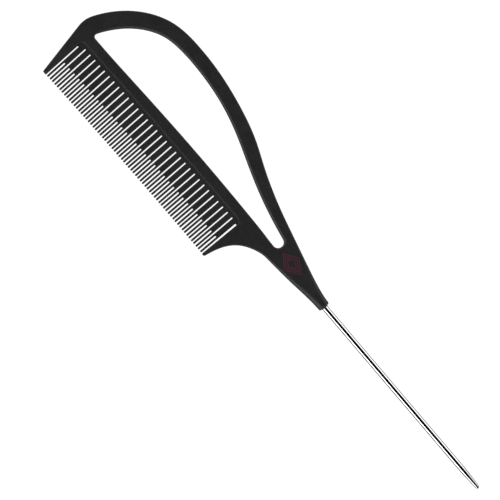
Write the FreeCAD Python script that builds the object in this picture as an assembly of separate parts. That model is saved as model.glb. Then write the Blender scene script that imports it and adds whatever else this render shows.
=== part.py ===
"""Rat tail comb: a moulded comb with a finger loop, and a steel tail pin moulded into its boss.

Design frame, millimetres: +X runs along the tail pin, with x = 0 where the pin leaves the boss.
+Y points away from the teeth and z = 0 is the comb's middle plane. The finished parts are then
moved so that the origin is the middle of the comb's box, on the surface that it lies on.
"""
import FreeCAD, Part
import math
import os

Vector = FreeCAD.Vector

# The moulding
BODY_THICKNESS = 4.2
GUARD_TIP_THICKNESS = 1.9
GUARD_TAPER_START_Y = -5.5
GUARD_TIP_Y = -24.73
REAR_GUARD_TIP_Y = -23.58
BOSS_HALF_WIDTH = 2.4
STRAIGHT_ANGLE = 165.5
STRAIGHT_LENGTH = 19.95
NOSE_X = -149.66
NOSE_RADIUS = 13.8
GUARD_SLANT_ANGLE = 281.42
OPENING_FRONT_RADIUS = 1.2
OPENING_REAR_RADIUS = 2.32

# The row of teeth lies on one gentle bow. Depths are measured up from the tips, along each tooth.
BOW_CENTRE = Vector(-59.0, -2916.5, 0)
BOW_RADIUS = 2893.0
FIRST_SLOT_X = -142.8
LAST_SLOT_X = -48.35
LONG_SLOT_COUNT = 34
LONG_SLOT_WIDTH = 0.58
LONG_SLOT_DEPTH = 18.6
FIRST_SLOT_DEPTH = 17.25
LAST_SLOT_DEPTH = 18.0
LAST_SLOT_ROOT_FLARE = 0.25
SHORT_SLOT_ROOT_WIDTH = 0.64
SHORT_SLOT_TIP_WIDTH = 0.76
SHORT_SLOT_DEPTH = 8.8
SHOULDER_DEPTH = 20.35
SHOULDER_CORNER_RADIUS = 2.2
PANEL_MARGIN = 0.7
PANEL_ROOT_THICKNESS = 3.2
TOOTH_TIP_THICKNESS = 1.5

# Edge rounding, from the round boss end to the flat plate
BOSS_END_ROUNDING = 1.95
BOSS_FACE_ROUNDING = 0.7
LOOP_ROUNDING = 0.9
OPENING_ROUNDING = 1.0
GUARD_ROUNDING = 0.4

# The tail pin
PIN_RADIUS = 1.25
PIN_EXPOSED_LENGTH = 95.1
PIN_TAPER_LENGTH = 8.5
PIN_TAPER_END_RADIUS = 0.85
PIN_POINT_LENGTH = 0.5
PIN_CAP_RADIUS = 0.25
PIN_CAP_LENGTH = 0.1
PIN_BURIED_LENGTH = 24.0
PIN_SHANK_RADIUS = 1.0
PIN_GROOVE_RADIUS = 0.78
PIN_GROOVE_WIDTH = 2.0
PIN_GROOVE_STARTS = (-20.0, -15.0, -10.0)

# The low collar of plastic that the pin comes out of
COLLAR_RADIUS = 1.45
COLLAR_LENGTH = 0.3

# The printed mark: nested lozenge outlines on the boss
MARK_CENTRE = Vector(-21.6, 1.2, 0)
MARK_HALF_LENGTHS = (5.8, 4.4, 3.0)
MARK_WIDTH_RATIO = 0.7
MARK_LINE_WIDTH = 0.55
MARK_THICKNESS = 0.03

# Cutting shapes reach past the moulding: in X, behind the loop, and beyond the tips of the teeth
CUT_START_X = -160.0
CUT_LENGTH = 165.0
CUT_BACK_Y = 40.0
CUT_PAST_TIPS = 4.0
EDGE_MATCH = 0.05


def point(x, y):
    return Vector(x, y, 0)


def direction(degrees):
    return Vector(math.cos(math.radians(degrees)), math.sin(math.radians(degrees)), 0)


def line(start, end):
    return Part.LineSegment(start, end).toShape()


def arc(start, middle, end):
    return Part.Arc(start, middle, end).toShape()


def circle_point(centre, radius, degrees):
    return centre + direction(degrees) * radius


def smooth_edge(points, start_angle, end_angle):
    """One smooth curve through the points, leaving and arriving at the angles given in degrees."""
    curve = Part.BSplineCurve()
    curve.interpolate(
        Points=points,
        InitialTangent=direction(start_angle),
        FinalTangent=direction(end_angle),
    )
    return curve.toShape()


def bow_angle(x):
    """Angle from the bow's middle line to the place on the tips' arc with this x."""
    return math.asin((x - BOW_CENTRE.x) / BOW_RADIUS)


FIRST_SLOT_ANGLE = bow_angle(FIRST_SLOT_X)
SLOT_STEP = (bow_angle(LAST_SLOT_X) - FIRST_SLOT_ANGLE) / (LONG_SLOT_COUNT - 1)


def bow_point(across, depth, angle):
    """A point beside a tooth's centre line: across it, and up it from the tips."""
    radius = BOW_RADIUS + depth
    x = across * math.cos(angle) + radius * math.sin(angle)
    y = radius * math.cos(angle) - across * math.sin(angle)
    return BOW_CENTRE + Vector(x, y, 0)


def prism(edges, bottom, top):
    """A solid between two heights, from the closed outline that the edges make."""
    wire = Part.Wire(Part.sortEdges(edges)[0])
    face = Part.Face(wire)
    face.translate(Vector(0, 0, bottom))
    return face.extrude(Vector(0, 0, top - bottom))


def polygon_prism(points, bottom, top):
    edges = [line(points[i - 1], points[i]) for i in range(len(points))]
    return prism(edges, bottom, top)


def outer_edges():
    """The moulding's outline, from the boss, over the loop, to the front guard and back."""
    boss_top = point(0, BOSS_HALF_WIDTH)
    boss_bottom = point(0, -BOSS_HALF_WIDTH)
    flare_end = point(-14.45, 4.95)
    loop_start = flare_end + direction(STRAIGHT_ANGLE) * STRAIGHT_LENGTH
    nose_centre = point(NOSE_X + NOSE_RADIUS, 0.6)
    nose = circle_point(nose_centre, NOSE_RADIUS, 180)
    slant_top = circle_point(nose_centre, NOSE_RADIUS, GUARD_SLANT_ANGLE - 90)
    slant_length = (GUARD_TIP_Y - slant_top.y) / direction(GUARD_SLANT_ANGLE).y
    front_tip_outer = slant_top + direction(GUARD_SLANT_ANGLE) * slant_length
    front_tip_inner = point(FIRST_SLOT_X, GUARD_TIP_Y)
    rear_tip_inner = point(LAST_SLOT_X, REAR_GUARD_TIP_Y)
    rear_tip_outer = point(-47.45, REAR_GUARD_TIP_Y)
    rear_tip_side = point(-46.6, -22.75)
    guard_foot = point(-30.26, -5.01)
    loop_points = [
        loop_start,
        point(-46.4, 13.6),
        point(-58.2, 17.95),
        point(-69.0, 22.45),
        point(-82.87, 26.27),
        point(-97.0, 28.6),
        point(-112.6, 29.3),
        point(-125.4, 27.6),
        point(-136.7, 21.33),
        point(-144.2, 13.15),
        point(-148.0, 6.5),
        nose,
    ]
    guard_points = [
        rear_tip_side,
        point(-44.1, -14.4),
        point(-41.3, -10.45),
        point(-38.0, -7.85),
        point(-34.12, -5.96),
        guard_foot,
    ]
    boss_upper_points = [boss_top, point(-6.6, 3.17), flare_end]
    boss_lower_points = [guard_foot, point(-14.34, -3.63), point(-6.4, -2.72), boss_bottom]
    return {
        "boss_end": line(boss_bottom, boss_top),
        "boss_upper": smooth_edge(boss_upper_points, 178, STRAIGHT_ANGLE),
        "straight": line(flare_end, loop_start),
        "loop": smooth_edge(loop_points, STRAIGHT_ANGLE, 270),
        "nose": arc(nose, circle_point(nose_centre, NOSE_RADIUS, 186), slant_top),
        "front_slant": line(slant_top, front_tip_outer),
        "front_tip": line(front_tip_outer, front_tip_inner),
        "tooth_tips": line(front_tip_inner, rear_tip_inner),
        "rear_tip": line(rear_tip_inner, rear_tip_outer),
        "rear_tip_round": arc(rear_tip_outer, point(-46.85, -23.36), rear_tip_side),
        "rear_guard": smooth_edge(guard_points, 79, 4),
        "boss_lower": smooth_edge(boss_lower_points, 4, 1),
    }


def opening_edges():
    """The finger opening: a long curved triangle between the spine and the loop."""
    front_centre = point(-141.2, 0.9)
    front_low = circle_point(front_centre, OPENING_FRONT_RADIUS, 270)
    front_high = circle_point(front_centre, OPENING_FRONT_RADIUS, 159)
    rear_centre = point(-31.8, 2.62)
    rear_low = circle_point(rear_centre, OPENING_REAR_RADIUS, 270)
    rear_high = circle_point(rear_centre, OPENING_REAR_RADIUS, 80)
    loop_points = [
        front_high,
        point(-139.7, 6.7),
        point(-136.3, 11.7),
        point(-130.6, 17.3),
        point(-123.6, 21.2),
        point(-115.9, 22.7),
        point(-104.0, 22.9),
        point(-92.0, 21.8),
        point(-76.5, 18.2),
        point(-61.5, 12.9),
        point(-50.1, 9.2),
        point(-40.5, 6.75),
        rear_high,
    ]
    spine_points = [
        front_low,
        point(-113.6, 0.35),
        point(-73.0, 1.08),
        point(-46.0, 0.8),
        point(-38.5, 0.58),
        rear_low,
    ]
    return {
        "front": arc(front_low, circle_point(front_centre, OPENING_FRONT_RADIUS, 215), front_high),
        "loop": smooth_edge(loop_points, 69, -10),
        "rear": arc(rear_high, circle_point(rear_centre, OPENING_REAR_RADIUS, 0), rear_low),
        "spine": smooth_edge(spine_points, 0, 0),
    }


def thickness_profile():
    """The plate seen along X: flat over the spine and loop, easing down to the guards' tips."""
    half = BODY_THICKNESS / 2
    tip = GUARD_TIP_THICKNESS / 2
    front_y = GUARD_TIP_Y - 1.0
    fall = half - tip
    run = GUARD_TAPER_START_Y - front_y
    mid_y = GUARD_TAPER_START_Y - run / 2
    mid_z = half - fall / 4
    x = CUT_START_X
    top_arc = arc(
        Vector(x, GUARD_TAPER_START_Y, half), Vector(x, mid_y, mid_z), Vector(x, front_y, tip)
    )
    bottom_arc = arc(
        Vector(x, GUARD_TAPER_START_Y, -half), Vector(x, mid_y, -mid_z), Vector(x, front_y, -tip)
    )
    edges = [
        line(Vector(x, CUT_BACK_Y, half), Vector(x, GUARD_TAPER_START_Y, half)),
        top_arc,
        line(Vector(x, front_y, tip), Vector(x, front_y, -tip)),
        bottom_arc,
        line(Vector(x, GUARD_TAPER_START_Y, -half), Vector(x, CUT_BACK_Y, -half)),
        line(Vector(x, CUT_BACK_Y, -half), Vector(x, CUT_BACK_Y, half)),
    ]
    face = Part.Face(Part.Wire(Part.sortEdges(edges)[0]))
    return face.extrude(Vector(CUT_LENGTH, 0, 0))


def panel_slab():
    """Everything between the toothed panel's two faces, which close in towards the tips."""
    root_y = BOW_CENTRE.y + BOW_RADIUS + SHOULDER_DEPTH
    tip_y = BOW_CENTRE.y + BOW_RADIUS
    slope = (PANEL_ROOT_THICKNESS - TOOTH_TIP_THICKNESS) / 2 / (root_y - tip_y)
    high_y = root_y + CUT_PAST_TIPS
    low_y = tip_y - CUT_PAST_TIPS
    high_z = PANEL_ROOT_THICKNESS / 2 + CUT_PAST_TIPS * slope
    low_z = TOOTH_TIP_THICKNESS / 2 - CUT_PAST_TIPS * slope
    x = CUT_START_X
    corners = [
        Vector(x, high_y, high_z),
        Vector(x, low_y, low_z),
        Vector(x, low_y, -low_z),
        Vector(x, high_y, -high_z),
    ]
    wire = Part.makePolygon(corners + corners[:1])
    return Part.Face(wire).extrude(Vector(CUT_LENGTH, 0, 0))


def panel_region():
    """The plan of the thinner toothed panel, with its two rounded upper corners."""
    front_angle = FIRST_SLOT_ANGLE - (LONG_SLOT_WIDTH / 2 + PANEL_MARGIN) / BOW_RADIUS
    rear_angle = bow_angle(LAST_SLOT_X) + (LONG_SLOT_WIDTH / 2 + PANEL_MARGIN) / BOW_RADIUS
    corner_angle = SHOULDER_CORNER_RADIUS / BOW_RADIUS
    side_top = SHOULDER_DEPTH - SHOULDER_CORNER_RADIUS
    side_bottom = -CUT_PAST_TIPS
    bulge = SHOULDER_CORNER_RADIUS * (1 - math.sqrt(0.5))
    front_low = bow_point(0, side_bottom, front_angle)
    front_side = bow_point(0, side_top, front_angle)
    front_corner = bow_point(bulge, SHOULDER_DEPTH - bulge, front_angle)
    front_top = bow_point(0, SHOULDER_DEPTH, front_angle + corner_angle)
    middle_top = bow_point(0, SHOULDER_DEPTH, 0)
    rear_top = bow_point(0, SHOULDER_DEPTH, rear_angle - corner_angle)
    rear_corner = bow_point(-bulge, SHOULDER_DEPTH - bulge, rear_angle)
    rear_side = bow_point(0, side_top, rear_angle)
    rear_low = bow_point(0, side_bottom, rear_angle)
    edges = [
        line(front_low, front_side),
        arc(front_side, front_corner, front_top),
        arc(front_top, middle_top, rear_top),
        arc(rear_top, rear_corner, rear_side),
        line(rear_side, rear_low),
        line(rear_low, front_low),
    ]
    return prism(edges, -BODY_THICKNESS, BODY_THICKNESS)


def slot_angle(index):
    return FIRST_SLOT_ANGLE + index * SLOT_STEP


def slot_root_depth(index):
    """The slots beside the two guards are a little shorter than the others."""
    if index == 0:
        return FIRST_SLOT_DEPTH
    if index == LONG_SLOT_COUNT - 1:
        return LAST_SLOT_DEPTH
    return LONG_SLOT_DEPTH


def long_slot(index):
    """A long slot's empty space, closed by a half round. The last one's guard wall leans out."""
    angle = slot_angle(index)
    half = LONG_SLOT_WIDTH / 2
    flare = LAST_SLOT_ROOT_FLARE if index == LONG_SLOT_COUNT - 1 else 0.0
    root = slot_root_depth(index)
    mouth = -CUT_PAST_TIPS
    left_low = bow_point(-half, mouth, angle)
    left_root = bow_point(-half, root - half, angle)
    right_root = bow_point(half + flare, root - half, angle)
    right_low = bow_point(half, mouth, angle)
    edges = [
        line(left_low, left_root),
        arc(left_root, bow_point(flare / 2, root, angle), right_root),
        line(right_root, right_low),
        line(right_low, left_low),
    ]
    return prism(edges, -BODY_THICKNESS, BODY_THICKNESS)


def bar_half_width(depth):
    """Half the width of the bar between two long slots: the slots are even, so it fans out."""
    pitch = SLOT_STEP * (BOW_RADIUS + depth)
    return (pitch - LONG_SLOT_WIDTH) / 2


BAR_ROOT_DEPTH = LONG_SLOT_DEPTH - LONG_SLOT_WIDTH / 2


def bars_space():
    """The room that the forked bars take, from the first bar's outer side to the last one's."""
    first = slot_angle(0.5)
    last = slot_angle(LONG_SLOT_COUNT - 1.5)
    low = -CUT_PAST_TIPS
    half_low = bar_half_width(low)
    half_root = bar_half_width(BAR_ROOT_DEPTH)
    first_low = bow_point(-half_low, low, first)
    first_root = bow_point(-half_root, BAR_ROOT_DEPTH, first)
    last_root = bow_point(half_root, BAR_ROOT_DEPTH, last)
    last_low = bow_point(half_low, low, last)
    root_middle = bow_point(0, math.hypot(BOW_RADIUS + BAR_ROOT_DEPTH, half_root) - BOW_RADIUS, 0)
    edges = [
        line(first_low, first_root),
        arc(first_root, root_middle, last_root),
        line(last_root, last_low),
        line(last_low, first_low),
    ]
    return prism(edges, -BODY_THICKNESS, BODY_THICKNESS)


def forked_bar(index, slab):
    """One bar of the panel, split by its short slot into two tines with round tips."""
    angle = slot_angle(index + 0.5)
    root = bar_half_width(BAR_ROOT_DEPTH)
    tip = bar_half_width(0)
    slot_tip = SHORT_SLOT_TIP_WIDTH / 2
    slot_root = SHORT_SLOT_ROOT_WIDTH / 2
    fork = SHORT_SLOT_DEPTH - slot_root
    tine_radius = (tip - slot_tip) / 2
    tine_middle = (tip + slot_tip) / 2

    def place(across, depth):
        return bow_point(across, depth, angle)

    crown = math.hypot(BOW_RADIUS + BAR_ROOT_DEPTH, root) - BOW_RADIUS
    edges = [
        arc(place(-root, BAR_ROOT_DEPTH), place(0, crown), place(root, BAR_ROOT_DEPTH)),
        arc(place(-slot_root, fork), place(0, SHORT_SLOT_DEPTH), place(slot_root, fork)),
    ]
    for side in (-1, 1):
        outer_low = place(side * tip, tine_radius)
        inner_low = place(side * slot_tip, tine_radius)
        edges.append(line(place(side * root, BAR_ROOT_DEPTH), outer_low))
        edges.append(arc(outer_low, place(side * tine_middle, 0), inner_low))
        edges.append(line(inner_low, place(side * slot_root, fork)))
    return prism(edges, -BODY_THICKNESS, BODY_THICKNESS).common(slab)


def rim(solid, outline_edge):
    """The solid's upper and lower edges that lie over one edge of the plan outline."""
    middle = outline_edge.CenterOfMass
    half = BODY_THICKNESS / 2
    found = []
    for edge in solid.Edges:
        centre = edge.CenterOfMass
        over = math.hypot(centre.x - middle.x, centre.y - middle.y) < EDGE_MATCH
        if over and abs(abs(centre.z) - half) < EDGE_MATCH:
            found.append(edge)
    return found


def rounded_plate():
    """The plate with its finger opening and its rounded edges, before the panel is cut."""
    half = BODY_THICKNESS / 2
    outer = outer_edges()
    opening = opening_edges()
    wires = [Part.Wire(Part.sortEdges(list(edges.values()))[0]) for edges in (outer, opening)]
    face = Part.Face(wires)
    face.validate()
    face.translate(Vector(0, 0, -half))
    plate = face.extrude(Vector(0, 0, BODY_THICKNESS))
    plate = plate.makeFillet(OPENING_ROUNDING, rim(plate, opening["spine"]))
    # A rounding runs on from its first edge through every edge that leaves it smoothly
    plate = plate.makeFillet(BOSS_END_ROUNDING, LOOP_ROUNDING, rim(plate, outer["boss_upper"]))
    plate = plate.makeFillet(GUARD_ROUNDING, BOSS_END_ROUNDING, rim(plate, outer["boss_lower"]))
    end_edges = [edge for edge in plate.Edges if edge.BoundBox.XMin > -EDGE_MATCH]
    plate = plate.makeFillet(BOSS_FACE_ROUNDING, end_edges)
    return plate.common(thickness_profile())


def make_pin():
    """The steel pin, turned about X, with a blunt point. Grooves key its thinner shank into the boss."""
    tip_x = PIN_EXPOSED_LENGTH
    cap_x = tip_x - PIN_CAP_LENGTH
    point_x = cap_x - PIN_POINT_LENGTH
    taper_x = point_x - PIN_TAPER_LENGTH
    outline = [Vector(-PIN_BURIED_LENGTH, 0, 0), Vector(-PIN_BURIED_LENGTH, PIN_SHANK_RADIUS, 0)]
    for start in PIN_GROOVE_STARTS:
        end = start + PIN_GROOVE_WIDTH
        outline.append(Vector(start, PIN_SHANK_RADIUS, 0))
        outline.append(Vector(start, PIN_GROOVE_RADIUS, 0))
        outline.append(Vector(end, PIN_GROOVE_RADIUS, 0))
        outline.append(Vector(end, PIN_SHANK_RADIUS, 0))
    outline.append(Vector(0, PIN_SHANK_RADIUS, 0))
    outline.append(Vector(0, PIN_RADIUS, 0))
    outline.append(Vector(taper_x, PIN_RADIUS, 0))
    outline.append(Vector(point_x, PIN_TAPER_END_RADIUS, 0))
    outline.append(Vector(cap_x, PIN_CAP_RADIUS, 0))
    edges = [line(outline[i], outline[i + 1]) for i in range(len(outline) - 1)]
    tip = Vector(tip_x, 0, 0)
    cap_sphere = (PIN_CAP_RADIUS**2 + PIN_CAP_LENGTH**2) / (2 * PIN_CAP_LENGTH)
    half_turn = math.asin(PIN_CAP_RADIUS / cap_sphere) / 2
    cap_rise = cap_sphere * math.sin(half_turn)
    cap_drop = cap_sphere * (1 - math.cos(half_turn))
    edges.append(arc(outline[-1], Vector(tip_x - cap_drop, cap_rise, 0), tip))
    edges.append(line(tip, outline[0]))
    face = Part.Face(Part.Wire(edges))
    return face.revolve(Vector(0, 0, 0), Vector(1, 0, 0), 360)


def lozenge(half_length, bottom, top):
    half_width = half_length * MARK_WIDTH_RATIO
    corners = [
        MARK_CENTRE + Vector(half_length, 0, 0),
        MARK_CENTRE + Vector(0, half_width, 0),
        MARK_CENTRE + Vector(-half_length, 0, 0),
        MARK_CENTRE + Vector(0, -half_width, 0),
    ]
    return polygon_prism(corners, bottom, top)


def make_mark():
    """Nested lozenge outlines of ink on the upper face."""
    bottom = BODY_THICKNESS / 2
    top = bottom + MARK_THICKNESS
    outlines = []
    for half_length in MARK_HALF_LENGTHS:
        outer = lozenge(half_length, bottom, top)
        inner = lozenge(half_length - MARK_LINE_WIDTH / MARK_WIDTH_RATIO, bottom - 1, top + 1)
        outlines.append(outer.cut(inner))
    return Part.makeCompound(outlines)


def make_body(plate, slab, pin):
    """The moulding without its forked bars: loop, spine, guards and boss in one solid."""
    collar_start = point(-COLLAR_LENGTH, 0)
    collar = Part.makeCylinder(COLLAR_RADIUS, 2 * COLLAR_LENGTH, collar_start, direction(0))
    recess = panel_region().cut(slab)
    body = plate.fuse(collar).cut(recess)
    body = body.cut(bars_space())
    for index in range(LONG_SLOT_COUNT):
        body = body.cut(long_slot(index))
    return body.cut(pin)


def make_teeth(slab):
    bars = [forked_bar(index, slab) for index in range(LONG_SLOT_COUNT - 1)]
    return Part.makeCompound(bars)


def main():
    plate = rounded_plate()
    slab = panel_slab()
    pin = make_pin()
    shapes = {
        "comb_body": make_body(plate, slab, pin),
        "teeth": make_teeth(slab),
        "tail_pin": pin,
        "printed_mark": make_mark(),
    }
    box = Part.makeCompound(list(shapes.values())).optimalBoundingBox()
    to_row_frame = Vector(-box.Center.x, -box.Center.y, -box.ZMin)
    print("moved by", to_row_frame)
    os.makedirs("parts", exist_ok=True)
    for name, shape in shapes.items():
        shape.translate(to_row_frame)
        print(name, len(shape.Solids), "solids,", round(shape.Volume, 2), "mm3", shape.isValid())
        shape.exportStep("parts/" + name + ".step")


main()
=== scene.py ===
import math

import bpy
import numpy as np
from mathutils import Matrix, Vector
from mathutils.geometry import delaunay_2d_cdt


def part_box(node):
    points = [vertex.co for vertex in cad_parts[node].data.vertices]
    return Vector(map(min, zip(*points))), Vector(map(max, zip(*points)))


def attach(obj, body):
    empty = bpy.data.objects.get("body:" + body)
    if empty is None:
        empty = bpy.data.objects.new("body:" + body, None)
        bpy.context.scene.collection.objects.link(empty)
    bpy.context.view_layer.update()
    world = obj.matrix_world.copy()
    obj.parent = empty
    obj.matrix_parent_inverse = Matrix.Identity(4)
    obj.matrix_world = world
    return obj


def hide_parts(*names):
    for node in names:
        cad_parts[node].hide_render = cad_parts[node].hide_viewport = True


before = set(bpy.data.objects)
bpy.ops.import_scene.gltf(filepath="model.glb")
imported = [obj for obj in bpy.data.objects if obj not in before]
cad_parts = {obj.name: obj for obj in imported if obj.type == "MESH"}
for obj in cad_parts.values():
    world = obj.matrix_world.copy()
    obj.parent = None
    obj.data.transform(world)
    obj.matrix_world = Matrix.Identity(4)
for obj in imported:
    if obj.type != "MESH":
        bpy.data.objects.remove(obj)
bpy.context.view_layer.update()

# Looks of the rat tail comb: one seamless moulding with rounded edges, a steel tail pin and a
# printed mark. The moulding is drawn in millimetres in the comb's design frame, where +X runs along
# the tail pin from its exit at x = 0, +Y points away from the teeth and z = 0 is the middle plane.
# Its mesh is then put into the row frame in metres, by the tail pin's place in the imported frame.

pin_low, pin_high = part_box("tail_pin")
body_low, body_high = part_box("comb_body")

MM = 0.001
PIN_EXPOSED_LENGTH = 95.1
DESIGN_ORIGIN = Vector((
    pin_high.x - PIN_EXPOSED_LENGTH * MM,
    (pin_low.y + pin_high.y) / 2,
    (pin_low.z + pin_high.z) / 2,
))

# The plate and its boss
HALF_THICKNESS = (body_high.z - body_low.z) / MM / 2
GUARD_TAPER_START_Y = -5.5
GUARD_TAPER_END_Y = -25.73
GUARD_TIP_HALF_THICKNESS = 0.95
BOSS_HALF_WIDTH = 2.4
BOSS_UPPER_FLARE = 2.0
BOSS_LOWER_FLARE = 1.0
BOSS_FACE_ROUNDING = 0.65
STRAIGHT_ANGLE = 165.5
STRAIGHT_LENGTH = 19.95
NOSE_X = -149.66
NOSE_Y = 0.6
NOSE_RADIUS = 13.8
GUARD_SLANT_ANGLE = 281.42
GUARD_OUTER_CORNER_RADIUS = 0.5
GUARD_INNER_CORNER_RADIUS = 0.3
REAR_GUARD_TIP_Y = -23.58

# The teeth lie on one gentle bow. Depths are measured up from the tips, along each tooth.
BOW_CENTRE = np.array((-59.0, -2916.5))
BOW_RADIUS = 2893.0
FIRST_SLOT_X = -142.8
LAST_SLOT_X = -48.35
LONG_SLOT_COUNT = 34
LONG_SLOT_HALF_WIDTH = 0.27
LONG_SLOT_DEPTH = 18.6
FIRST_SLOT_DEPTH = 17.25
LAST_SLOT_DEPTH = 18.0
LAST_SLOT_ROOT_FLARE = 0.25
SHORT_SLOT_ROOT_HALF_WIDTH = 0.30
SHORT_SLOT_TIP_HALF_WIDTH = 0.35
SHORT_SLOT_DEPTH = 8.8
SHOULDER_DEPTH = 20.35
SHOULDER_CORNER_RADIUS = 2.2
SHOULDER_WIDTH = 0.42
PANEL_MARGIN = 0.7
PANEL_ROOT_HALF_THICKNESS = 1.6
TOOTH_TIP_HALF_THICKNESS = 0.75

# Roundings of the edges between the two faces and the walls. Where one is wider than the boss's
# rounding is high, its section is an ellipse.
BOSS_ROUNDING_HEIGHT = 1.95
BOSS_UPPER_ROUNDING = 1.95
BOSS_LOWER_ROUNDING = 2.35
FLARE_ROUNDING = 1.1
LOOP_ROUNDING = 0.6
OPENING_ROUNDING = 1.2
SPINE_ROUNDING = 0.5
GUARD_ROUNDING = 0.4
GUARD_FOOT_ROUNDING = 0.8
TOOTH_ROUNDING = 0.2
TOOTH_TIP_ROUNDING = 0.28
ROUNDING_STEPS = 5

# The seam where the two halves of the mould meet, and the low collar that the pin comes out of
SEAM_HALF_WIDTH = 0.06
SEAM_HEIGHT = 0.03
COLLAR_RADIUS = 1.45
COLLAR_LENGTH = 0.3
COLLAR_BEVEL = 0.08
HOLE_RADIUS = 1.27
HOLE_DEPTH = 0.2

# Where the pin's drawn finish gives way to the finish of its ground point
GROUND_POINT_START = pin_high.x - 12 * MM
GROUND_POINT_END = pin_high.x - 8.5 * MM

# Distances between mesh points, and counts of them
LOOP_BLEND_POINTS = 12
CURVE_SPACING = 1.0
GRID_SPACING = 1.6
END_ARC_STEPS = 8
NOSE_STEPS = 4
STRAIGHT_POINTS = 12
SLANT_POINTS = 16
SHOULDER_LEVELS = 6
SHOULDER_SIDE_POINTS = 12
SHOULDER_TOP_POINTS = 40
SHOULDER_LOWEST_DEPTH = 0.75
END_FACE_POINTS = 5
CHUNK = 400

# Lengths that count as nothing: between two points, when triangulating, and a triangle's height
SAME_POINT = 1e-6
MERGE_DISTANCE = 1e-5
THINNEST_TRIANGLE = 1e-4


def unit(degrees):
    return np.array((math.cos(math.radians(degrees)), math.sin(math.radians(degrees))))


def normalised(vectors):
    lengths = np.linalg.norm(vectors, axis=-1, keepdims=True)
    return vectors / np.maximum(lengths, SAME_POINT)


def smoothstep(value):
    value = np.clip(value, 0.0, 1.0)
    return value * value * (3 - 2 * value)


# ---- Outlines: rows of x, y and edge rounding


def smooth_curve(points, start_angle, end_angle):
    """The one smooth curve through the points, leaving and arriving at the angles in degrees."""
    points = np.array(points, float)
    spans = np.linalg.norm(np.diff(points, axis=0), axis=1)
    system = np.eye(len(points))
    wanted = np.zeros((len(points), 2))
    wanted[0] = unit(start_angle)
    wanted[-1] = unit(end_angle)
    for i in range(1, len(points) - 1):
        before = spans[i - 1]
        after = spans[i]
        system[i, i - 1] = after
        system[i, i] = 2 * (before + after)
        system[i, i + 1] = before
        step_before = (points[i] - points[i - 1]) / before
        step_after = (points[i + 1] - points[i]) / after
        wanted[i] = 3 * (after * step_before + before * step_after)
    slopes = np.linalg.solve(system, wanted)
    curve = []
    for i, span in enumerate(spans):
        steps = max(3, math.ceil(span / CURVE_SPACING))
        for t in np.arange(steps) / steps:
            from_start = (1 + 2 * t) * (1 - t) ** 2 * points[i]
            from_end = (3 - 2 * t) * t**2 * points[i + 1]
            bend = t * (1 - t) ** 2 * slopes[i] - t**2 * (1 - t) * slopes[i + 1]
            curve.append(from_start + from_end + span * bend)
    curve.append(points[-1])
    return np.array(curve)


def arc_points(centre, radius, start_angle, end_angle, steps):
    angles = np.radians(np.linspace(start_angle, end_angle, steps + 1))
    return np.array(centre) + radius * np.column_stack((np.cos(angles), np.sin(angles)))


def rounded_corner(before, corner, after, radius):
    """The arc that rounds the corner between two straight stretches."""
    back = normalised(before - corner)
    ahead = normalised(after - corner)
    half = math.acos(float(back @ ahead)) / 2
    centre = corner + normalised(back + ahead) * radius / math.sin(half)
    start = corner + back * radius / math.tan(half) - centre
    end = corner + ahead * radius / math.tan(half) - centre
    first = math.atan2(start[1], start[0])
    sweep = (math.atan2(end[1], end[0]) - first + math.pi) % (2 * math.pi) - math.pi
    return arc_points(centre, radius, math.degrees(first), math.degrees(first + sweep), END_ARC_STEPS)


def with_rounding(points, start, end):
    """Adds a column with the edge's rounding, which runs evenly from start to end."""
    points = np.array(points, float)
    lengths = np.linalg.norm(np.diff(points, axis=0), axis=1)
    share = np.concatenate(([0.0], np.cumsum(lengths))) / lengths.sum()
    return np.column_stack((points, start + (end - start) * share))


def joined(parts):
    """Rows of several stretches in one, without the points that two stretches share."""
    rows = np.vstack(parts)
    gaps = np.linalg.norm(np.diff(rows[:, :2], axis=0), axis=1)
    return rows[np.concatenate(([True], gaps > SAME_POINT))]


def bow_angle(x):
    return math.asin((x - BOW_CENTRE[0]) / BOW_RADIUS)


FIRST_SLOT_ANGLE = bow_angle(FIRST_SLOT_X)
LAST_SLOT_ANGLE = bow_angle(LAST_SLOT_X)
SLOT_STEP = (LAST_SLOT_ANGLE - FIRST_SLOT_ANGLE) / (LONG_SLOT_COUNT - 1)


def bow_point(across, depth, angle):
    """A point beside a tooth's centre line: across it, and up it from the tips."""
    radius = BOW_RADIUS + depth
    x = across * math.cos(angle) + radius * math.sin(angle)
    y = radius * math.cos(angle) - across * math.sin(angle)
    return BOW_CENTRE + np.array((x, y))


def half_round(centre_across, centre_depth, radius, start_angle, end_angle, angle):
    """A half circle drawn beside a tooth's centre line, as at a slot's root or a tine's tip."""
    local = arc_points((centre_across, centre_depth), radius, start_angle, end_angle, END_ARC_STEPS)
    return np.array([bow_point(across, depth, angle) for across, depth in local])


def slot_angle(index):
    return FIRST_SLOT_ANGLE + index * SLOT_STEP


def slot_root(index):
    """The closed upper end of a long slot. Beside the guards the slots are a little shorter."""
    half = LONG_SLOT_HALF_WIDTH
    depth = {0: FIRST_SLOT_DEPTH, LONG_SLOT_COUNT - 1: LAST_SLOT_DEPTH}.get(index, LONG_SLOT_DEPTH)
    root = half_round(0, depth - half, half, 180, 0, slot_angle(index))
    if index == LONG_SLOT_COUNT - 1:
        root[:, 0] += LAST_SLOT_ROOT_FLARE * np.linspace(0, 1, len(root))
    return with_rounding(root, TOOTH_ROUNDING, TOOTH_ROUNDING)


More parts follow.
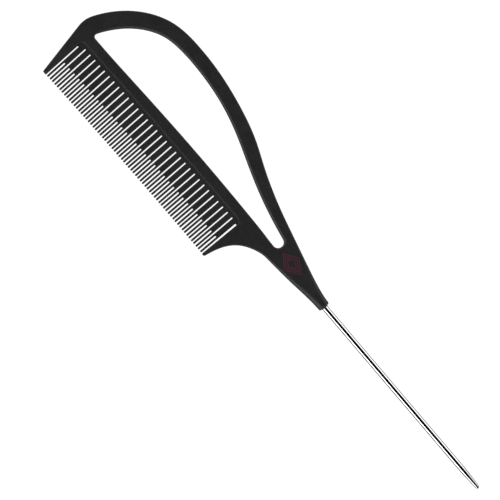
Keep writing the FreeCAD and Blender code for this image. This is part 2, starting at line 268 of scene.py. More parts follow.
def forked_bar(index):
    """The lower end of the bar between two long slots: tine, short slot, tine."""
    angle = slot_angle(index + 0.5)
    outer = (SLOT_STEP * BOW_RADIUS) / 2 - LONG_SLOT_HALF_WIDTH
    inner = SHORT_SLOT_TIP_HALF_WIDTH
    radius = (outer - inner) / 2
    middle = (outer + inner) / 2
    root = SHORT_SLOT_ROOT_HALF_WIDTH
    tip_left = half_round(-middle, radius, radius, 180, 360, angle)
    fork = half_round(0, SHORT_SLOT_DEPTH - root, root, 180, 0, angle)
    tip_right = half_round(middle, radius, radius, 180, 360, angle)
    return joined([
        with_rounding(tip_left, TOOTH_TIP_ROUNDING, TOOTH_TIP_ROUNDING),
        with_rounding(fork, TOOTH_ROUNDING, TOOTH_ROUNDING),
        with_rounding(tip_right, TOOTH_TIP_ROUNDING, TOOTH_TIP_ROUNDING),
    ])


def teeth_outline():
    """From the first slot's root to the last one's, along every tooth."""
    parts = []
    for index in range(LONG_SLOT_COUNT - 1):
        parts.append(slot_root(index))
        parts.append(forked_bar(index))
    parts.append(slot_root(LONG_SLOT_COUNT - 1))
    return joined(parts)


def boss_half_width(x, flare):
    return BOSS_HALF_WIDTH - x * math.tan(math.radians(flare))


def boss_corner(side, flare, rounding):
    """The plan of the boss's rounded end corner, from the end face to the side."""
    points = []
    for turn in np.radians(np.linspace(90, 0, END_ARC_STEPS)):
        x = -BOSS_FACE_ROUNDING * (1 - math.sin(turn))
        inset = BOSS_FACE_ROUNDING * (1 - math.cos(turn))
        points.append((x, side * (boss_half_width(x, flare) - inset)))
    return with_rounding(points, rounding, rounding)


def boss_upper_side():
    """From the boss's upper corner, out to where the straight stretch begins."""
    start = (-BOSS_FACE_ROUNDING, boss_half_width(-BOSS_FACE_ROUNDING, BOSS_UPPER_FLARE))
    return smooth_curve([start, (-6.6, 3.17), (-14.45, 4.95)], 178, STRAIGHT_ANGLE)


def loop_outer_side(start):
    """From the end of the straight stretch, over the finger loop and down to the nose."""
    return smooth_curve(
        [
            start,
            (-46.4, 13.6),
            (-58.2, 17.95),
            (-69.0, 22.45),
            (-82.87, 26.27),
            (-97.0, 28.6),
            (-112.6, 29.3),
            (-125.4, 27.6),
            (-136.7, 21.33),
            (-144.2, 13.15),
            (-148.0, 6.5),
            (NOSE_X, NOSE_Y),
        ],
        STRAIGHT_ANGLE,
        270,
    )


def front_guard():
    """Round the nose, down the front guard's slanted side, and round its tip to the first slot."""
    nose_centre = np.array((NOSE_X + NOSE_RADIUS, NOSE_Y))
    nose = arc_points(nose_centre, NOSE_RADIUS, 180, GUARD_SLANT_ANGLE - 90, NOSE_STEPS)
    slant_top = nose[-1]
    tip_inner = bow_point(-LONG_SLOT_HALF_WIDTH, 0, FIRST_SLOT_ANGLE)
    slant_length = (tip_inner[1] - slant_top[1]) / unit(GUARD_SLANT_ANGLE)[1]
    tip_outer = slant_top + unit(GUARD_SLANT_ANGLE) * slant_length
    wall_depth = FIRST_SLOT_DEPTH - LONG_SLOT_HALF_WIDTH
    wall_top = bow_point(-LONG_SLOT_HALF_WIDTH, wall_depth, FIRST_SLOT_ANGLE)
    outer_corner = rounded_corner(slant_top, tip_outer, tip_inner, GUARD_OUTER_CORNER_RADIUS)
    inner_corner = rounded_corner(tip_outer, tip_inner, wall_top, GUARD_INNER_CORNER_RADIUS)
    slant = np.linspace(slant_top, outer_corner[0], SLANT_POINTS)
    return joined([
        with_rounding(nose, GUARD_ROUNDING, GUARD_ROUNDING),
        with_rounding(slant, GUARD_ROUNDING, GUARD_ROUNDING),
        with_rounding(outer_corner, GUARD_ROUNDING, GUARD_ROUNDING),
        with_rounding(inner_corner, GUARD_ROUNDING, TOOTH_ROUNDING),
    ])


def upper_side():
    """From the boss, over the loop, down the nose and along the front guard."""
    boss_curve = boss_upper_side()
    flare_end = boss_curve[-1]
    loop_start = flare_end + unit(STRAIGHT_ANGLE) * STRAIGHT_LENGTH
    straight = np.linspace(flare_end, loop_start, STRAIGHT_POINTS)
    return joined([
        with_rounding(boss_curve, BOSS_UPPER_ROUNDING, FLARE_ROUNDING),
        with_rounding(straight, FLARE_ROUNDING, LOOP_ROUNDING),
        with_rounding(loop_outer_side(loop_start), LOOP_ROUNDING, GUARD_ROUNDING),
        front_guard(),
    ])


def lower_side():
    """From the rear guard's tip, up its curved back and along the boss."""
    wall_depth = LAST_SLOT_DEPTH - LONG_SLOT_HALF_WIDTH
    wall_top = bow_point(LONG_SLOT_HALF_WIDTH, wall_depth, LAST_SLOT_ANGLE)
    tip_inner = bow_point(LONG_SLOT_HALF_WIDTH, 0, LAST_SLOT_ANGLE)
    tip_outer = np.array((-47.45, REAR_GUARD_TIP_Y))
    tip_side = (-46.6, -22.75)
    guard_foot = (-30.26, -5.01)
    boss_end = (-BOSS_FACE_ROUNDING, -boss_half_width(-BOSS_FACE_ROUNDING, BOSS_LOWER_FLARE))
    inner_corner = rounded_corner(wall_top, tip_inner, tip_outer, GUARD_INNER_CORNER_RADIUS)
    outer_corner = smooth_curve([tip_outer, (-46.85, -23.36), tip_side], 0, 79)
    guard = smooth_curve(
        [tip_side, (-44.1, -14.4), (-41.3, -10.45), (-38.0, -7.85), (-34.12, -5.96), guard_foot],
        79,
        4,
    )
    boss_curve = smooth_curve([guard_foot, (-14.34, -3.63), (-6.4, -2.72), boss_end], 4, 1)
    return joined([
        with_rounding(inner_corner, TOOTH_ROUNDING, TOOTH_TIP_ROUNDING),
        with_rounding(outer_corner, TOOTH_TIP_ROUNDING, TOOTH_TIP_ROUNDING),
        with_rounding(guard, TOOTH_TIP_ROUNDING, GUARD_FOOT_ROUNDING),
        with_rounding(boss_curve, GUARD_FOOT_ROUNDING, BOSS_LOWER_ROUNDING),
    ])


def outer_outline():
    """Everything but the boss's end face: from its upper corner all the way round to its lower one."""
    lower_corner = boss_corner(-1, BOSS_LOWER_FLARE, BOSS_LOWER_ROUNDING)[::-1]
    return joined([
        boss_corner(1, BOSS_UPPER_FLARE, BOSS_UPPER_ROUNDING),
        upper_side(),
        teeth_outline(),
        lower_side(),
        lower_corner,
    ])


def opening_outline():
    """The finger opening, a long curved triangle between the spine and the loop."""
    front_centre = (-141.2, 0.9)
    front_radius = 1.2
    rear_centre = (-31.8, 2.62)
    rear_radius = 2.32
    front = arc_points(front_centre, front_radius, 270, 159, END_ARC_STEPS)
    rear = arc_points(rear_centre, rear_radius, 80, -90, 2 * END_ARC_STEPS)
    loop = smooth_curve(
        [
            front[-1],
            (-139.7, 6.7),
            (-136.3, 11.7),
            (-130.6, 17.3),
            (-123.6, 21.2),
            (-115.9, 22.7),
            (-104.0, 22.9),
            (-92.0, 21.8),
            (-76.5, 18.2),
            (-61.5, 12.9),
            (-50.1, 9.2),
            (-40.5, 6.75),
            rear[0],
        ],
        69,
        -10,
    )
    spine_points = [front[0], (-113.6, 0.35), (-73.0, 1.08), (-46.0, 0.8), (-38.5, 0.58), rear[-1]]
    spine = smooth_curve(spine_points, 0, 0)
    outline = joined([
        with_rounding(front, SPINE_ROUNDING, SPINE_ROUNDING),
        with_rounding(loop[:LOOP_BLEND_POINTS], SPINE_ROUNDING, OPENING_ROUNDING),
        with_rounding(loop[LOOP_BLEND_POINTS - 1:], OPENING_ROUNDING, OPENING_ROUNDING),
        with_rounding(rear, OPENING_ROUNDING, SPINE_ROUNDING),
        with_rounding(spine[::-1], SPINE_ROUNDING, SPINE_ROUNDING),
    ])
    return outline[:-1]


# ---- The moulding's two faces, as a height above the middle plane


def outline_normals(outline, closed):
    """The way into the material at each point of an outline that keeps the material on its left."""
    points = outline[:, :2]
    if closed:
        steps = np.roll(points, -1, axis=0) - points
        ahead = normalised(steps)
        behind = np.roll(ahead, 1, axis=0)
    else:
        steps = normalised(np.diff(points, axis=0))
        ahead = np.vstack((steps, steps[-1:]))
        behind = np.vstack((steps[:1], steps))
    along = normalised(ahead + behind)
    return np.column_stack((-along[:, 1], along[:, 0]))


def edge_segments(outer, opening):
    """The walls' lines: start, end, and the rounding at each. The boss's sides run straight on."""
    past_end = 3.0
    body = outer[outer[:, 0] <= -BOSS_FACE_ROUNDING + SAME_POINT]
    start = (past_end, boss_half_width(past_end, BOSS_UPPER_FLARE), BOSS_UPPER_ROUNDING)
    end = (past_end, -boss_half_width(past_end, BOSS_LOWER_FLARE), BOSS_LOWER_ROUNDING)
    chain = np.vstack((start, body, end))
    starts = np.vstack((chain[:-1], opening))
    ends = np.vstack((chain[1:], np.roll(opening, -1, axis=0)))
    return starts, ends


def nearest_edge(points, segments):
    """For each point: the distance to the nearest wall, the way in from it, and its rounding."""
    starts, ends = segments
    spans = ends - starts
    lengths = (spans[:, :2] ** 2).sum(axis=1)
    distances = np.empty(len(points))
    inward = np.empty((len(points), 2))
    roundings = np.empty(len(points))
    for first in range(0, len(points), CHUNK):
        some = points[first:first + CHUNK]
        offset = some[:, None, :] - starts[None, :, :2]
        share = np.clip((offset * spans[None, :, :2]).sum(axis=2) / lengths, 0, 1)
        away = offset - share[:, :, None] * spans[None, :, :2]
        squared = (away**2).sum(axis=2)
        best = squared.argmin(axis=1)
        rows = np.arange(len(some))
        gap = np.sqrt(squared[rows, best])
        distances[first:first + CHUNK] = gap
        inward[first:first + CHUNK] = away[rows, best] / np.maximum(gap, SAME_POINT)[:, None]
        roundings[first:first + CHUNK] = starts[best, 2] + share[rows, best] * spans[best, 2]
    return distances, inward, roundings


def panel_distance(points):
    """How far a point lies outside the thinner toothed panel, whose upper corners are round."""
    arm = points - BOW_CENTRE
    depth = np.linalg.norm(arm, axis=1) - BOW_RADIUS
    middle = (FIRST_SLOT_ANGLE + LAST_SLOT_ANGLE) / 2
    half_angle = (LAST_SLOT_ANGLE - FIRST_SLOT_ANGLE) / 2
    across = np.abs(np.arcsin(arm[:, 0] / (BOW_RADIUS + depth)) - middle) * BOW_RADIUS
    half_width = half_angle * BOW_RADIUS + LONG_SLOT_HALF_WIDTH + PANEL_MARGIN
    corner = SHOULDER_CORNER_RADIUS
    beyond = np.column_stack((across - half_width + corner, depth - SHOULDER_DEPTH + corner))
    outside = np.linalg.norm(np.maximum(beyond, 0), axis=1)
    inside = np.minimum(beyond.max(axis=1), 0)
    return outside + inside - corner


def half_height(points):
    """Half the thickness away from the edges: plate, guards, shoulder and toothed panel."""
    y = points[:, 1]
    taper = np.clip((GUARD_TAPER_START_Y - y) / (GUARD_TAPER_START_Y - GUARD_TAPER_END_Y), 0, None)
    plate = HALF_THICKNESS - (HALF_THICKNESS - GUARD_TIP_HALF_THICKNESS) * taper**2
    tips_y = BOW_CENTRE[1] + BOW_RADIUS
    slope = (PANEL_ROOT_HALF_THICKNESS - TOOTH_TIP_HALF_THICKNESS) / SHOULDER_DEPTH
    panel = TOOTH_TIP_HALF_THICKNESS + slope * (y - tips_y)
    climb = smoothstep(1 + panel_distance(points) / SHOULDER_WIDTH)
    return panel + (plate - panel) * climb


def height_gradient(points):
    """How fast half_height climbs along x and along y."""
    step = 0.01
    along_x = half_height(points + (step, 0)) - half_height(points - (step, 0))
    along_y = half_height(points + (0, step)) - half_height(points - (0, step))
    return np.column_stack((along_x, along_y)) / (2 * step)


def end_turn(x):
    """How far the boss's rounded end has turned from side to end face: its sine and cosine."""
    sine = np.clip((x + BOSS_FACE_ROUNDING) / BOSS_FACE_ROUNDING, 0, 1)
    return sine, np.sqrt(1 - sine**2)


def upper_face(points, segments):
    """Heights and surface normals of the upper face at these points."""
    distance, inward, rounding = nearest_edge(points, segments)
    sine, cosine = end_turn(points[:, 0])
    inset = BOSS_FACE_ROUNDING * (1 - cosine)
    width = rounding - inset
    drop = np.minimum(rounding, BOSS_ROUNDING_HEIGHT) - inset
    tilt = np.clip(1 - (distance - inset) / width, 0, 1)
    upright = np.sqrt(1 - tilt**2)
    height = half_height(points) - inset - drop * (1 - upright)
    level = np.column_stack((-height_gradient(points), np.ones(len(points))))
    normal = upright[:, None] * normalised(level)
    normal[:, :2] -= inward * (tilt * drop / width)[:, None]
    normal *= cosine[:, None]
    normal[:, 0] += sine
    return height, normalised(normal)


# ---- The moulding's mesh


def shoulder_lines():
    """Lines along the shoulder around the toothed panel, one at each level of its slope."""
    half_angle = (LAST_SLOT_ANGLE - FIRST_SLOT_ANGLE) / 2
    middle = (FIRST_SLOT_ANGLE + LAST_SLOT_ANGLE) / 2
    side = half_angle * BOW_RADIUS + LONG_SLOT_HALF_WIDTH + PANEL_MARGIN
    corner = SHOULDER_CORNER_RADIUS
    turn = np.radians(np.linspace(0, 90, END_ARC_STEPS))
    lines = []
    for level in np.linspace(-1, 0, SHOULDER_LEVELS) * SHOULDER_WIDTH:
        corner_across = side - corner + (corner + level) * np.cos(turn)
        corner_depth = SHOULDER_DEPTH - corner + (corner + level) * np.sin(turn)
        side_depth = np.linspace(SHOULDER_LOWEST_DEPTH, corner_depth[0], SHOULDER_SIDE_POINTS)[:-1]
        side_across = np.full(len(side_depth), side + level)
        top_across = np.linspace(corner_across[-1], -corner_across[-1], SHOULDER_TOP_POINTS)[1:-1]
        top_depth = np.full(len(top_across), corner_depth[-1])
        half_across = np.concatenate((side_across, corner_across))
        half_depth = np.concatenate((side_depth, corner_depth))
        whole_across = np.concatenate((half_across, top_across, -half_across[::-1]))
        whole_depth = np.concatenate((half_depth, top_depth, half_depth[::-1]))
        line = [
            bow_point(0, depth, middle + across / BOW_RADIUS)
            for across, depth in zip(whole_across, whole_depth)
        ]
        lines.append(np.array(line))
    return lines


def inside(points, outline):
    """Which points lie inside a closed outline."""
    found = np.zeros(len(points), bool)
    x, y = points[:, 0], points[:, 1]
    corners = outline[:, :2]
    for (ax, ay), (bx, by) in zip(corners, np.roll(corners, -1, axis=0)):
        crosses = (ay > y) != (by > y)
        if crosses.any():
            found ^= crosses & (x < (bx - ax) * (y - ay) / (by - ay) + ax)
    return found


def triangle_heights(corners):
    """Each triangle's height over its longest side."""
    sides = np.roll(corners, -1, axis=1) - corners
    doubled_areas = sides[:, 0, 0] * sides[:, 1, 1] - sides[:, 0, 1] * sides[:, 1, 0]
    return doubled_areas / np.linalg.norm(sides, axis=2).max(axis=1)


def grid_points(boundary, opening, segments):
    """Evenly spaced points on the plate, clear of the rounded edges and of the toothed panel."""
    low = boundary.min(axis=0)
    high = boundary.max(axis=0)
    row_spacing = GRID_SPACING * math.sqrt(0.75)
    xs = np.arange(low[0], high[0], GRID_SPACING)
    ys = np.arange(low[1], high[1], row_spacing)
    rows = [
        np.column_stack((xs + GRID_SPACING / 2 * (i % 2), np.full(len(xs), y)))
        for i, y in enumerate(ys)
    ]
    points = np.vstack(rows)
    points = points[inside(points, boundary) & ~inside(points, opening)]
    distance, _, rounding = nearest_edge(points, segments)
    clear = (distance > rounding + GRID_SPACING / 3) & (panel_distance(points) > GRID_SPACING / 3)
    return points[clear & (points[:, 0] < -2 * BOSS_FACE_ROUNDING)]


class Plan:
    """Points and lines of the plan, gathered for one triangulation."""

    def __init__(self):
        self.points = []
        self.lines = []

    def add_line(self, points, closed=False):
        first = len(self.points)
        count = len(points)
        self.points.extend(points)
        self.lines.extend((first + i, first + i + 1) for i in range(count - 1))
        if closed:
            self.lines.append((first + count - 1, first))
        return list(range(first, first + count))


def rounding_rings(outline, inward, roundings):
    """Lines inside an outline, one at each step of its rounding."""
    turns = np.linspace(0, math.pi / 2, ROUNDING_STEPS + 1)[1:]
    return [outline + inward * (roundings * (1 - math.cos(turn)))[:, None] for turn in turns]


def outer_rounding_rings(outer):
    """The outer outline's rings. At the boss's end corners they lie square to the pin."""
    points = outer[:, :2]
    inward = outline_normals(outer, closed=False)
    sine, cosine = end_turn(points[:, 0])
    at_corner = sine > 0
    sides = np.sign(points[at_corner, 1])
    inward[at_corner] = np.column_stack((np.zeros(len(sides)), -sides))
    return rounding_rings(points, inward, outer[:, 2] - BOSS_FACE_ROUNDING * (1 - cosine))


def opening_rounding_rings(opening):
    return rounding_rings(opening[:, :2], outline_normals(opening, closed=True), opening[:, 2])


def end_face_line(rings):
    """The plan's line along the boss's end face, from the outer outline's end back to its start."""
    innermost = rings[-1]
    middle = np.linspace(innermost[-1], innermost[0], END_FACE_POINTS)[1:-1]
    return np.vstack([
        [ring[-1] for ring in rings],
        middle,
        [ring[0] for ring in reversed(rings)],
    ])


def gather_plan(outer, opening, segments):
    """Every point and line of the plan, and its boundary with the end face included."""
    outer_rings = outer_rounding_rings(outer)
    boundary = np.vstack((outer[:, :2], end_face_line(outer_rings)))
    plan = Plan()
    around = plan.add_line(boundary, closed=True)
    hole_ids = plan.add_line(opening[:, :2], closed=True)
    outer_ids = around[:len(outer)]
    end_ids = around[len(outer):]
    # Both ends of each ring are tied to a point of the end face's line
    for ring_number, ring in enumerate(outer_rings):
        ring_ids = plan.add_line(ring[1:-1])
        plan.lines.append((end_ids[len(end_ids) - 1 - ring_number], ring_ids[0]))
        plan.lines.append((end_ids[ring_number], ring_ids[-1]))
    for ring in opening_rounding_rings(opening):
        plan.add_line(ring, closed=True)
    for line in shoulder_lines():
        plan.add_line(line)
    # Rows of points across the boss's rounded end
    for x, y in outer_rings[-1][1:END_ARC_STEPS]:
        across = np.linspace(-y, y, END_FACE_POINTS)[1:-1]
        plan.points.extend((x, position) for position in across)
    plan.points.extend(grid_points(boundary, opening, segments))
    return plan, boundary, outer_ids, hole_ids, end_ids


def triangulate(outer, opening, segments):
    """The plan's triangles, and which of its points run along each outline and the end face."""
    plan, boundary, outer_ids, hole_ids, end_ids = gather_plan(outer, opening, segments)
    flat_points = [Vector((float(x), float(y))) for x, y in plan.points]
    verts, _, faces, originals, _, _ = delaunay_2d_cdt(flat_points, plan.lines, [], 0, MERGE_DISTANCE)
    verts = np.array([tuple(v) for v in verts])
    new_id = {}
    for new, sources in enumerate(originals):
        for source in sources:
            new_id[source] = new
    faces = np.array([face for face in faces if len(face) == 3])
    middles = verts[faces].mean(axis=1)
    in_plan = inside(middles, boundary) & ~inside(middles, opening)
    kept = faces[in_plan & (triangle_heights(verts[faces]) > THINNEST_TRIANGLE)]
    return (
        verts,
        kept,
        [new_id[i] for i in outer_ids],
        [new_id[i] for i in hole_ids],
        [new_id[i] for i in end_ids],
    )


class Mesh:
    """Vertices with their normals, and faces, in the design frame."""

    def __init__(self):
        self.points = []
        self.normals = []
        self.faces = []

    def add(self, points, normals):
        first = len(self.points)
        self.points.extend(points)
        self.normals.extend(normals)
        return list(range(first, first + len(points)))

    def bridge(self, first_row, second_row, closed):
        """Quads between two rows of as many points."""
        count = len(first_row)
        for i in range(count if closed else count - 1):
            j = (i + 1) % count
            self.faces.append((first_row[i], first_row[j], second_row[j], second_row[i]))

    def to_object(self, name):
        points = np.array(self.points) * MM + np.array(DESIGN_ORIGIN)
        mesh = bpy.data.meshes.new(name)
        mesh.from_pydata([tuple(p) for p in points], [], self.faces)
        mesh.polygons.foreach_set("use_smooth", [True] * len(mesh.polygons))
        mesh.validate()
        mesh.normals_split_custom_set_from_vertices([tuple(n) for n in self.normals])
        mesh.update()
        piece = bpy.data.objects.new(name, mesh)
        bpy.context.scene.collection.objects.link(piece)
        return piece


def add_wall(mesh, top_row, bottom_row, points, inward, closed):
    """A wall from the upper face to the lower one, with the mould's seam along its middle."""
    rows = [top_row]
    outward = np.column_stack((-inward, np.zeros(len(inward))))
    for height, proud in ((SEAM_HALF_WIDTH, 0.0), (0.0, SEAM_HEIGHT), (-SEAM_HALF_WIDTH, 0.0)):
        row = np.column_stack((points - inward * proud, np.full(len(points), height)))
        rows.append(mesh.add(row, outward))
    rows.append(bottom_row)
    for upper_row, lower_row in zip(rows, rows[1:]):
        mesh.bridge(lower_row, upper_row, closed)
    return rows


def add_end_face(mesh, loop):
    """The boss's flat end face, and the collar on it with the hole that the pin comes out of."""
    points = np.array([mesh.points[i] for i in loop])
    angles = np.arctan2(points[:, 2], points[:, 1])
    around = np.column_stack((np.zeros(len(angles)), np.cos(angles), np.sin(angles)))
    along = np.array((1.0, 0.0, 0.0))
    flat = np.tile(along, (len(loop), 1))

    def ring(x, radius, normals):
        return mesh.add(along * x + around * radius, normals)

    rim = mesh.add(points, flat)
    foot = ring(0, COLLAR_RADIUS, flat)
    side_start = ring(0, COLLAR_RADIUS, around)
    side_end = ring(COLLAR_LENGTH - COLLAR_BEVEL, COLLAR_RADIUS, around)
    top = ring(COLLAR_LENGTH, COLLAR_RADIUS - COLLAR_BEVEL, flat)
    mouth = ring(COLLAR_LENGTH, HOLE_RADIUS, flat)
    hole_start = ring(COLLAR_LENGTH, HOLE_RADIUS, -around)
    hole_end = ring(-HOLE_DEPTH, HOLE_RADIUS, -around)
    mesh.bridge(rim, foot, closed=True)
    mesh.bridge(side_start, side_end, closed=True)
    mesh.bridge(side_end, top, closed=True)
    mesh.bridge(top, mouth, closed=True)
    mesh.bridge(hole_start, hole_end, closed=True)
    bottom = ring(-HOLE_DEPTH, HOLE_RADIUS, flat)
    centre = mesh.add([along * -HOLE_DEPTH], [along])[0]
    for i, vertex in enumerate(bottom):
        mesh.faces.append((vertex, bottom[(i + 1) % len(bottom)], centre))


def make_moulding():
    """The two faces over one plan, the walls between them, and the boss's end with its collar."""
    outer = outer_outline()
    opening = opening_outline()
    segments = edge_segments(outer, opening)
    plan, triangles, outer_ids, hole_ids, end_ids = triangulate(outer, opening, segments)
    height, normals = upper_face(plan, segments)
    outer_inward = outline_normals(outer, closed=False)
    opening_inward = outline_normals(opening, closed=True)
    normals[outer_ids] = np.column_stack((-outer_inward, np.zeros(len(outer_ids))))
    normals[hole_ids] = np.column_stack((-opening_inward, np.zeros(len(hole_ids))))

    mesh = Mesh()
    count = len(plan)
    mesh.add(np.column_stack((plan, height)), normals)
    mesh.add(np.column_stack((plan, -height)), normals * (1, 1, -1))
    mesh.faces.extend(tuple(int(i) for i in face) for face in triangles)
    mesh.faces.extend(tuple(int(i) + count for i in face[::-1]) for face in triangles)

    outer_bottom = [i + count for i in outer_ids]
    hole_bottom = [i + count for i in hole_ids]
    wall_rows = add_wall(mesh, outer_ids, outer_bottom, outer[:, :2], outer_inward, closed=False)
    add_wall(mesh, hole_ids, hole_bottom, opening[:, :2], opening_inward, closed=True)

    upper_wall = [row[0] for row in wall_rows]
    lower_wall = [row[-1] for row in wall_rows]
    end_bottom = [i + count for i in end_ids]
    loop = end_bottom + upper_wall[::-1] + end_ids[::-1] + lower_wall
    add_end_face(mesh, loop)
    return mesh.to_object("moulding")


# ---- Materials


def new_material(name):
    material = bpy.data.materials.new(name)
    material.use_nodes = True
    shader = material.node_tree.nodes["Principled BSDF"]
    return material, material.node_tree, shader


def noise(tree, scale, detail, stretch=(1, 1, 1)):
    """A noise texture in the object's own metres, so that its grain has a real size."""
    place = tree.nodes.new("ShaderNodeTexCoord")
    mapping = tree.nodes.new("ShaderNodeMapping")
    mapping.inputs["Scale"].default_value = stretch
    texture = tree.nodes.new("ShaderNodeTexNoise")
    texture.inputs["Scale"].default_value = scale
    texture.inputs["Detail"].default_value = detail
    tree.links.new(place.outputs["Object"], mapping.inputs["Vector"])
    tree.links.new(mapping.outputs["Vector"], texture.inputs["Vector"])
    return texture.outputs["Fac"]


def ranged(tree, value, low, high):
    """A noise, which seldom leaves the middle of 0 to 1, spread over the range low to high."""
    node = tree.nodes.new("ShaderNodeMapRange")
    node.inputs["From Min"].default_value = 0.3
    node.inputs["From Max"].default_value = 0.7
    node.inputs["To Min"].default_value = low
    node.inputs["To Max"].default_value = high
    tree.links.new(value, node.inputs["Value"])
    return node.outputs["Result"]


def mixed_colour(tree, factor, first, second):
    """From the first colour, where the factor is 0, to the second, where it is 1."""
    node = tree.nodes.new("ShaderNodeMix")
    node.data_type = "RGBA"
    node.inputs["A"].default_value = (*first, 1)
    node.inputs["B"].default_value = (*second, 1)
    tree.links.new(factor, node.inputs["Factor"])
    return node.outputs["Result"]


def laid_over(tree, factor, under, over):
    """The colour over, laid on the colour under as far as the factor says."""
    node = tree.nodes.new("ShaderNodeMix")
    node.data_type = "RGBA"
    node.inputs["B"].default_value = (*over, 1)
    tree.links.new(factor, node.inputs["Factor"])
    tree.links.new(under, node.inputs["A"])
    return node.outputs["Result"]


def along_object(tree, start, end):
    """A value that rises from 0 to 1 between two distances along the object's own X axis."""
    place = tree.nodes.new("ShaderNodeTexCoord")
    split = tree.nodes.new("ShaderNodeSeparateXYZ")
    rise = tree.nodes.new("ShaderNodeMapRange")
    rise.inputs["From Min"].default_value = start
    rise.inputs["From Max"].default_value = end
    tree.links.new(place.outputs["Object"], split.inputs["Vector"])
    tree.links.new(split.outputs["X"], rise.inputs["Value"])
    return rise.outputs["Result"]


def bump(tree, height, distance, strength):
    node = tree.nodes.new("ShaderNodeBump")
    node.inputs["Distance"].default_value = distance
    node.inputs["Strength"].default_value = strength
    tree.links.new(height, node.inputs["Height"])
    return node.outputs["Normal"]


def moulded_plastic():
    """Matt black plastic with the fine grain of the mould and a faint unevenness of gloss."""
    material, tree, shader = new_material("moulded_plastic")
    shader.inputs["IOR"].default_value = 1.5
    grain = noise(tree, 4200, 3)
    cloud = noise(tree, 160, 4)
    mottle = ranged(tree, noise(tree, 900, 5), 0, 1)
    colour = mixed_colour(tree, mottle, (0.0010, 0.0010, 0.0012), (0.0060, 0.0060, 0.0063))
    tree.links.new(colour, shader.inputs["Base Color"])
    tree.links.new(ranged(tree, cloud, 0.52, 0.60), shader.inputs["Roughness"])
    tree.links.new(bump(tree, grain, 0.00002, 0.6), shader.inputs["Normal"])
    return material


def polished_steel():
    """Bright drawn steel with very fine scratches along the pin, and a duller ground point."""
    material, tree, shader = new_material("polished_steel")
    shader.inputs["Metallic"].default_value = 1.0
    drawn = noise(tree, 5000, 3, stretch=(0.02, 1, 1))
    cloud = noise(tree, 300, 2, stretch=(0.2, 1, 1))
    drawn_colour = mixed_colour(tree, cloud, (0.68, 0.68, 0.69), (0.72, 0.72, 0.73))
    ground = along_object(tree, GROUND_POINT_START, GROUND_POINT_END)
    colour = laid_over(tree, ground, drawn_colour, (0.53, 0.53, 0.54))
    tree.links.new(colour, shader.inputs["Base Color"])
    tree.links.new(ranged(tree, drawn, 0.06, 0.09), shader.inputs["Roughness"])
    tree.links.new(bump(tree, drawn, 0.000001, 0.2), shader.inputs["Normal"])
    return material


def printed_ink():
    """Dull dark magenta ink, a little worn."""
    material, tree, shader = new_material("printed_ink")
    wear = noise(tree, 1500, 4)
    colour = mixed_colour(tree, wear, (0.040, 0.008, 0.018), (0.076, 0.008, 0.026))
    tree.links.new(colour, shader.inputs["Base Color"])
    tree.links.new(ranged(tree, wear, 0.45, 0.6), shader.inputs["Roughness"])
    tree.links.new(bump(tree, wear, 0.00001, 0.5), shader.inputs["Normal"])
    return material


def pale_floor():
    """A white light table: it glows a little, so that the narrow gaps between the teeth stay white."""
    material, _, shader = new_material("pale_floor")
    shader.inputs["Base Color"].default_value = (0.1, 0.1, 0.1, 1)
    shader.inputs["Roughness"].default_value = 0.9
    shader.inputs["Specular IOR Level"].default_value = 0.0
    shader.inputs["Emission Color"].default_value = (1, 1, 1, 1)
    shader.inputs["Emission Strength"].default_value = 1.0
    return material


def dark_card():
    """The black cloth of the card overhead, whose reflection is the pin's dark middle line."""
    material, _, shader = new_material("dark_card")
    shader.inputs["Base Color"].default_value = (0.004, 0.004, 0.004, 1)
    shader.inputs["Roughness"].default_value = 1.0
    shader.inputs["Specular IOR Level"].default_value = 0.0
    return material


# ---- Stage


def add_sheet(name, width, depth, place, material):
    """A flat staging sheet, facing up or down, that isn't part of the object."""
    x = width / 2
    y = depth / 2
    corners = [(-x, -y, 0), (x, -y, 0), (x, y, 0), (-x, y, 0)]
    mesh = bpy.data.meshes.new(name)
    mesh.from_pydata(corners, [], [(0, 1, 2, 3)])
    mesh.materials.append(material)
    sheet = bpy.data.objects.new(name, mesh)
    bpy.context.scene.collection.objects.link(sheet)
    sheet.location = place
    return sheet


def add_softbox(name, size, place, aim, power):
    """A rectangular lamp, in metres and watts, that faces the point aim."""
    light = bpy.data.lights.new(name, "AREA")
    light.shape = "RECTANGLE"
    light.size, light.size_y = size
    light.energy = power
    lamp = bpy.data.objects.new(name, light)
    bpy.context.scene.collection.objects.link(lamp)
    lamp.location = place
    lamp.rotation_euler = (Vector(aim) - Vector(place)).to_track_quat("-Z", "Y").to_euler()
    return lamp


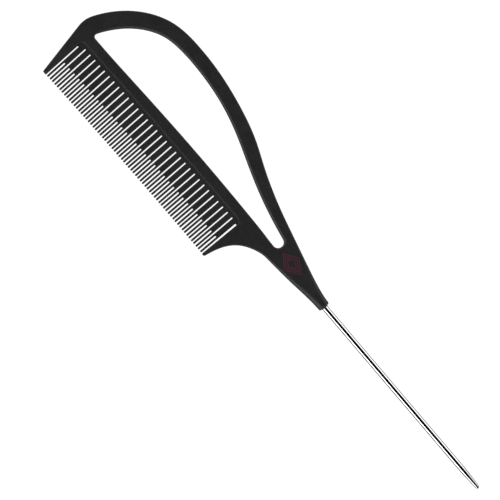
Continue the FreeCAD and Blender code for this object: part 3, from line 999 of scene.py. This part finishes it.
def light_scene():
    """A white room over a dark lower half, which ends a little higher on the softbox's side."""
    horizon_tilt = 0.17
    world = bpy.data.worlds.new("studio")
    bpy.context.scene.world = world
    world.use_nodes = True
    tree = world.node_tree
    place = tree.nodes.new("ShaderNodeTexCoord")
    parts = tree.nodes.new("ShaderNodeSeparateXYZ")
    tilted = tree.nodes.new("ShaderNodeMath")
    tilted.operation = "MULTIPLY_ADD"
    tilted.inputs[1].default_value = horizon_tilt
    ramp = tree.nodes.new("ShaderNodeValToRGB")
    ramp.color_ramp.elements[0].position = 0.0
    ramp.color_ramp.elements[0].color = (0.10, 0.10, 0.10, 1)
    ramp.color_ramp.elements[1].position = 0.02
    ramp.color_ramp.elements[1].color = (1.8, 1.8, 1.8, 1)
    tree.links.new(place.outputs["Generated"], parts.inputs["Vector"])
    tree.links.new(parts.outputs["Y"], tilted.inputs[0])
    tree.links.new(parts.outputs["Z"], tilted.inputs[2])
    tree.links.new(tilted.outputs["Value"], ramp.inputs["Fac"])
    tree.links.new(ramp.outputs["Color"], tree.nodes["Background"].inputs["Color"])
    add_softbox("key_softbox", size=(3.6, 0.98), place=(-0.1, -1.375, 0.716), aim=(0, 0, 0), power=23.5)
    bpy.context.scene.view_settings.view_transform = "Standard"


def add_camera():
    """Straight above the comb, far off, with the pin running down to the lower right."""
    view_width = 0.2
    distance = 3.0
    pin_turn = math.radians(49.628)
    view_middle = Vector((-36.74, -7.89, 0))
    middle = DESIGN_ORIGIN + view_middle * MM
    camera = bpy.data.cameras.new("camera")
    camera.sensor_width = 36
    camera.lens = camera.sensor_width * distance / view_width
    camera.clip_end = 10
    holder = bpy.data.objects.new("camera", camera)
    bpy.context.scene.collection.objects.link(holder)
    holder.location = (middle.x, middle.y, middle.z + distance)
    holder.rotation_euler = (0, 0, pin_turn)
    bpy.context.scene.camera = holder


moulding = make_moulding()
moulding.data.materials.append(moulded_plastic())
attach(moulding, "root")
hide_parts("comb_body", "teeth")

for node, material in (("tail_pin", polished_steel()), ("printed_mark", printed_ink())):
    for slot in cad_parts[node].material_slots:
        slot.material = material

# The pin mirrors the room and not the floor, and the camera looks through the card
floor = add_sheet("floor", 6.0, 6.0, (0, 0, -0.0002), pale_floor())
floor.visible_glossy = False
card = add_sheet("dark_card", 4.8, 4.8, (DESIGN_ORIGIN.x, 0.0, 2.0), dark_card())
card.visible_camera = False
light_scene()
add_camera()
